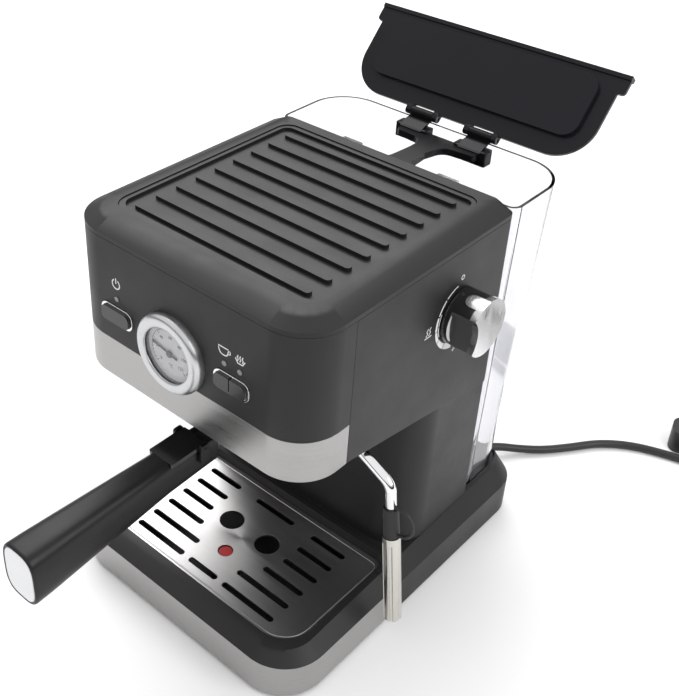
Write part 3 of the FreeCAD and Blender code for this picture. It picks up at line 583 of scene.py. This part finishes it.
ring = lathe("gauge_ring", ring_profile, (hub.x, face_y, hub.z), "housing", SATIN)
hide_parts("gauge_bezel", "gauge_housing")
# the window's inner wall, painted dark grey as the shade in the recess below the ring
lathe("gauge_well_painted_shade", well_profile, (hub.x, face_y, hub.z), "housing", SHADE_GREY)
DIAL_START, DIAL_SWEEP = 222, 264       # degrees, clockwise from the lower left
TICKS, FIGURES = 30, 6                  # spaces between ticks and between figures
TICK_OUTER, TICK_LONG, TICK_SHORT = 16.3, 13.9, 15.1
FIGURE_RADIUS, FIGURE_STEP = 11.2, 20
FIGURE_RISE = 0.1


def on_dial(u, v, height):
    """A point on the dial's face, from the hub."""
    return (hub.x + u, dial_top - height, hub.z + v)


ticks = [(arc(0, 0, 16.2, DIAL_START, DIAL_START - DIAL_SWEEP, 60), 0.25, False)]
for i in range(TICKS + 1):
    t = math.radians(DIAL_START - DIAL_SWEEP * i / TICKS)
    inner, width = (TICK_LONG, 0.42) if i % 5 == 0 else (TICK_SHORT, 0.25)
    ticks.append(([(inner * math.cos(t), inner * math.sin(t)),
                   (TICK_OUTER * math.cos(t), TICK_OUTER * math.sin(t))], width, False))
strokes("dial_ticks", ticks, on_dial, "housing", INK_BLACK, 0.05)
for i in range(FIGURES + 1):
    t = math.radians(DIAL_START - DIAL_SWEEP * i / FIGURES)
    label("dial_figure_%d" % i, str(FIGURE_STEP * i), 3.1,
          on_dial(FIGURE_RADIUS * math.cos(t), FIGURE_RADIUS * math.sin(t), FIGURE_RISE),
          "housing", INK_BLACK)
label("dial_unit", "\u00b0C", 3.4, on_dial(0, -9.5, FIGURE_RISE), "housing", INK_BLACK)
needle_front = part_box("gauge_needle")[0][1] / MM
lathe("needle_boss", [(0.01, -0.9), (1.6, -0.85), (2.3, -0.5), (2.5, 0.1)],
      (hub.x, needle_front, hub.z), "needle", INK_BLACK, 40)

# ---------------------------------------------------------------- printed signs
def on_front(u, v, height):
    """A point on the front panel, in the object's own x and z."""
    return (u, panel_y - height, v)


def shifted(points, u, v, scale=1.0):
    """Points of a sign, scaled and moved to its place."""
    return [(u + a * scale, v + b * scale) for a, b in points]


power = middle("power_button")
coffee = middle("coffee_button")
steam = middle("steam_button")
sign_z = power.z + 23.0
px = power.x
pair_x = (coffee.x + steam.x) / 2
signs = [(arc(px, sign_z, 3.3, 62, -242, 30), 0.85, False),
         ([(px, sign_z + 0.4), (px, sign_z + 4.3)], 0.85, False)]
cup_at = (pair_x - 6.4, sign_z - 2.7)
signs.append((shifted([(-4.4, 2.6), (-4.1, 0.2), (-2.9, -1.9), (-1.2, -2.6), (1.0, -2.6),
                       (2.4, -1.9), (3.2, 0.2), (3.4, 2.6)], *cup_at), 0.8, True))
signs.append((shifted([(3.3, 1.9), (4.9, 1.7), (5.0, 0.0), (3.0, -0.6)], *cup_at), 0.75,
              False))
steam_at = (pair_x + 6.2, sign_z - 2.6)
signs.append((shifted([(-3.7, 0.4), (-2.6, -1.4), (-2.0, -2.6), (2.0, -2.6), (2.6, -1.4),
                       (3.7, 0.4)], *steam_at), 0.8, False))
for u in (-1.9, 0.0, 1.9):
    signs.append((shifted([(u - 0.3, -1.2), (u + 0.4, 0.2), (u - 0.4, 1.6), (u + 0.3, 3.0)],
                          *steam_at), 0.75, False))
strokes("front_signs", signs, on_front, "housing", INK)

knob = middle("knob_spindle")
side_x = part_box("head_shell")[1][0] / MM


def on_side(u, v, height):
    """A point on the head's right side, from the knob's middle."""
    return (side_x + height, knob.y + u, knob.z + v)


def band_arc(radius, start, end, low, high, steps=12):
    """A printed arc whose width grows from low to high."""
    widths = [low + (high - low) * i / steps for i in range(steps + 1)]
    return (arc(0, 0, radius, start, end, steps), widths, False)


RING_UP, CROSS_DOWN = 27.0, 27.5        # the signs above and below the knob
STEAM_FORWARD = 31.0                    # the steam sign in front of it
scale = [band_arc(22.6, 99, 128, 0.7, 0.8), band_arc(22.6, 131, 158, 0.9, 1.1),
         band_arc(22.6, 161, 186, 1.5, 1.9), band_arc(22.4, 188, 210, 2.0, 2.6),
         band_arc(22.0, 212, 236, 3.0, 3.9), band_arc(21.9, 238, 262, 4.0, 4.6)]
scale += [band_arc(20.3, 155, 178, 0.5, 0.6), band_arc(20.2, 180, 203, 0.7, 0.8)]
scale.append((shifted(arc(0, 0, 1.5, 0, 330, 12), 0.5, RING_UP), 0.6, True))
for points in ([(-2.6, -2.2), (-0.8, 0.0), (-2.2, 1.4), (-0.6, 3.2)],
               [(0.2, -2.2), (2.0, 0.0), (0.6, 1.4), (2.2, 3.2)],
               [(-3.6, -3.4), (3.4, -3.4)]):
    scale.append((shifted(points, -STEAM_FORWARD, 1.5), 0.6, False))
for points in ([(0, -1.6), (0, 1.6)], [(-1.6, 0), (1.6, 0)]):
    scale.append((shifted(points, 0.5, -CROSS_DOWN), 0.6, False))
strokes("knob_scale", scale, on_side, "housing", INK)

# the knob's finger scoop: matt walls, and a painted highlight, a bright crescent at its foot
scoop_floor = side_x + 5.0
SCOOP_RADIUS = 20.0
SCOOP_OFFSET = (-30.4, -1.5)
SCOOP_MARGIN = 0.1
HIGHLIGHT_STEPS = 16
knob_body = NODES["knob_body"]
knob_body.data.materials.append(SCOOP)
for face in knob_body.data.polygons:
    at = knob_body.matrix_world @ face.center / MM
    far = math.hypot(at.y - knob.y - SCOOP_OFFSET[0], at.z - knob.z - SCOOP_OFFSET[1])
    if at.x > scoop_floor - SCOOP_MARGIN and far < SCOOP_RADIUS + SCOOP_MARGIN:
        face.material_index = len(knob_body.data.materials) - 1
# painted highlight: the light caught on the fillet at the scoop's foot, drawn in white
highlight_arc = arc(0, 0, 17.6, 151, 219, HIGHLIGHT_STEPS)
highlight_widths = [0.5 + 2.6 * math.sin(math.pi * i / HIGHLIGHT_STEPS)
                   for i in range(HIGHLIGHT_STEPS + 1)]
strokes("knob_painted_highlight", [(highlight_arc, highlight_widths, False)],
        lambda u, v, height: (scoop_floor + height, knob.y + u, knob.z + v), "knob",
        WHITE, 0.25)

# a fine line of painted shade just inside the edge of the knob's chrome face, where the rim's
# edge reads dark
cap_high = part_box("knob_cap")[1][0] / MM
LINE_RADIUS, LINE_SCOOP = 17.4, SCOOP_RADIUS + 1.7
LINE_SINK = 0.06
shade_outline = []
for i in range(181):
    t = math.radians(-180 + 2 * i)
    u, v = LINE_RADIUS * math.cos(t), LINE_RADIUS * math.sin(t)
    if math.hypot(u - SCOOP_OFFSET[0], v - SCOOP_OFFSET[1]) > LINE_SCOOP:
        shade_outline.append((u, v))
for i in range(91):
    t = math.radians(45 - i)
    u = SCOOP_OFFSET[0] + LINE_SCOOP * math.cos(t)
    v = SCOOP_OFFSET[1] + LINE_SCOOP * math.sin(t)
    if math.hypot(u, v) < LINE_RADIUS:
        shade_outline.append((u, v))
# the painted shade line, drawn in the dark grey
strokes("knob_face_shade_line", [(shade_outline, 0.3, True)],
        lambda u, v, height: (cap_high - LINE_SINK + height, knob.y + u, knob.z + v), "knob",
        SHADE_GREY, 0.05)

# ---------------------------------------------------------------- drip plate's bead
plate_low, plate_high = (Vector(v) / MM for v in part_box("drip_plate"))


def rounded_loop(x0, x1, y0, y1, front, back):
    """A rectangle with rounded corners, of one radius at y0 and one at y1."""
    out = []
    for cx, cy, radius, start in ((x0 + front, y0 + front, front, 180),
                                  (x1 - front, y0 + front, front, 270),
                                  (x1 - back, y1 - back, back, 0),
                                  (x0 + back, y1 - back, back, 90)):
        out += arc(cx, cy, radius, start, start + 90, 10)
    return out


BEAD_INSET, BEAD_RADIUS, BEAD_SINK = 3.6, 0.65, 0.35
bead = rounded_loop(plate_low.x + BEAD_INSET, plate_high.x - BEAD_INSET,
                    plate_low.y + BEAD_INSET, plate_high.y - BEAD_INSET, 20.5, 5.0)
bead_data = bpy.data.curves.new("plate_bead", "CURVE")
bead_data.dimensions = "3D"
bead_line = bead_data.splines.new("POLY")
bead_line.points.add(len(bead) - 1)
for p, (x, y) in zip(bead_line.points, bead):
    p.co = (x * MM, y * MM, (plate_high.z - BEAD_SINK) * MM, 1.0)
    p.radius = BEAD_RADIUS * MM
bead_line.use_cyclic_u = True
bead_data.bevel_depth = 1.0
bead_data.bevel_resolution = 4
link("plate_bead", bead_data, "grid", PLATE)

# ---------------------------------------------------------------- filter handle
OVAL_POWER = 3.3                        # 2 is an ellipse; more is squarer
OVAL_POINTS = 72


def oval(wide, tall, centre, y, top=math.inf):
    """A soft-cornered section of the handle, cut off at a height."""
    out = []
    for i in range(OVAL_POINTS):
        t = 2 * math.pi * i / OVAL_POINTS
        c, d = math.cos(t), math.sin(t)
        x = wide * math.copysign(abs(c) ** (2 / OVAL_POWER), c)
        z = centre + tall * math.copysign(abs(d) ** (2 / OVAL_POWER), d)
        out.append((x, y, min(z, top)))
    return out


def tube_of(name, sections, body, material):
    """Skins closed sections in order and closes both ends."""
    count = len(sections[0])
    verts = [v for section in sections for v in section]
    faces = []
    for k in range(len(sections) - 1):
        for i in range(count):
            j = (i + 1) % count
            faces.append((k * count + i, k * count + j, (k + 1) * count + j,
                          (k + 1) * count + i))
    faces.append(tuple(range(count)))
    faces.append(tuple(range(len(verts) - 1, len(verts) - count - 1, -1)))
    o = mesh_piece(name, verts, faces, body, material)
    mend(o)
    return o


grip_low, grip_high = (Vector(v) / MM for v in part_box("handle_grip"))
GUARD_GAP = 0.3
guard_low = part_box("filter_guard")[0][2] / MM - GUARD_GAP
guard_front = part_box("filter_guard")[0][1] / MM - GUARD_GAP
grip_end, grip_neck = grip_low.y, grip_high.y
# y, half width, half height and middle's height, from the neck to the end
shape = [(grip_neck, 9.8, 12.6, 148.5), (-140.0, 10.4, 13.6, 148.0),
         (-190.0, 12.6, 16.4, 146.2), (-235.0, 14.6, 19.1, 144.4),
         (grip_end, 14.9, 19.5, 144.0)]


def handle_size(y):
    """Half width, half height and middle's height of the handle at y."""
    for (y0, *a), (y1, *b) in zip(shape, shape[1:]):
        if y1 <= y <= y0:
            share = (y0 - y) / (y0 - y1)
            return [p + (q - p) * share for p, q in zip(a, b)]
    return shape[-1][1:]


pin = middle("guard_pin")
pin_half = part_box("guard_pin")[1][0] / MM
PIN_ROOM = 4.8
PIN_STEPS = 16
STEP = 0.02                             # half the length of the step behind the guard


def handle_top(y):
    """The handle's top under the guard, hollowed round the guard's pin."""
    off = abs(y - pin.y)
    if off >= PIN_ROOM:
        return guard_low
    return min(guard_low, pin.z - math.sqrt(PIN_ROOM ** 2 - off ** 2))


sections = []
hollow = [pin.y + PIN_ROOM * math.cos(math.pi * i / PIN_STEPS)
          for i in range(PIN_STEPS + 1)]
for y in [grip_neck] + hollow + [-125.0, guard_front + STEP]:
    sections.append(oval(*handle_size(y), y, top=handle_top(y)))
for y in [guard_front - STEP] + [guard_front - 6.0 * i for i in range(1, 18)]:
    if y > grip_end + 3.0:
        sections.append(oval(*handle_size(y), y))
for back, less in ((2.2, 0.0), (1.0, 0.15), (0.35, 0.5), (0.0, 1.0)):
    wide, tall, centre = handle_size(grip_end + back)
    sections.append(oval(wide - less, tall - less, centre, grip_end + back))
wide, tall, centre = handle_size(grip_end)
sections.append(oval(wide - 1.75, tall - 1.75, centre, grip_end + 0.1))
sections.append(oval(wide - 1.85, tall - 1.85, centre, grip_end + 1.6))
grip = tube_of("handle_body", sections, "portafilter", HANDLE)
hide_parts("handle_grip")
disc = []
for forward, less in ((1.5, 2.0), (0.45, 1.95), (0.15, 2.15), (0.02, 2.7)):
    disc.append(oval(wide - less, tall - less, centre, grip_end + forward))
end_cap = tube_of("handle_disc", disc, "portafilter", WHITE)
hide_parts("handle_cap")

# the lugs that carry the guard's pin, each with a root inside the handle
EAR_IN = 10.85
for side, tag in ((-1, "left"), (1, "right")):
    for part, flanks, top in (
            ("ear", [(EAR_IN, 0.0), (pin_half - 0.5, 0.0), (pin_half - 0.15, 0.12),
                     (pin_half, 0.5)], 2.6),
            ("root", [(8.0, 0.4), (EAR_IN + 1.0, 0.4)], -6.0)):
        ear = []
        for x, less in flanks:
            loop = rounded_loop(pin.y - 3.5 + less, pin.y + 3.5 - less, pin.z - 12.0 + less,
                                pin.z + top - less, 1.6, 1.6)
            ear.append([(side * x, u, v) for u, v in loop])
        tube_of("handle_%s_%s" % (part, tag), ear, "portafilter", HANDLE)

# ---------------------------------------------------------------- floor, light, world
FLOOR_HALF = 6
floor_mesh = bpy.data.meshes.new("floor")
corners = [(x * FLOOR_HALF, y * FLOOR_HALF, 0) for x, y in ((-1, -1), (1, -1), (1, 1), (-1, 1))]
floor_mesh.from_pydata(corners, [], [(0, 1, 2, 3)])
floor = bpy.data.objects.new("floor", floor_mesh)
SCENE.collection.objects.link(floor)
FLOOR = Nodes("floor")
FLOOR.set(Base_Color=FLOOR.ramp(FLOOR.noise(3.0), 0.90, 0.93), Roughness=0.9)
floor_mesh.materials.append(FLOOR.material)

world = bpy.data.worlds.new("world")
world.use_nodes = True
sky = world.node_tree.nodes["Background"]
sky.inputs["Strength"].default_value = 1.0
where = world.node_tree.nodes.new("ShaderNodeTexCoord").outputs["Generated"]
split = world.node_tree.nodes.new("ShaderNodeSeparateXYZ")
world.node_tree.links.new(where, split.inputs[0])
height = world.node_tree.nodes.new("ShaderNodeMapRange")
# dark near the horizon, white higher up, so that dark upright faces stay dark
for key, value in (("From Min", 0.10), ("From Max", 0.30), ("To Min", 0.02),
                   ("To Max", 1.0)):
    height.inputs[key].default_value = value
world.node_tree.links.new(split.outputs["Z"], height.inputs["Value"])
world.node_tree.links.new(height.outputs["Result"], sky.inputs["Color"])
SCENE.world = world
SCENE.view_settings.view_transform = "Standard"
area_light("key", (-0.9, 0.7, 1.7), (0, 0, 0.15), 1.4, 22)
area_light("side", (1.4, 0.2, 1.1), (0, 0, 0.1), 1.0, 10)
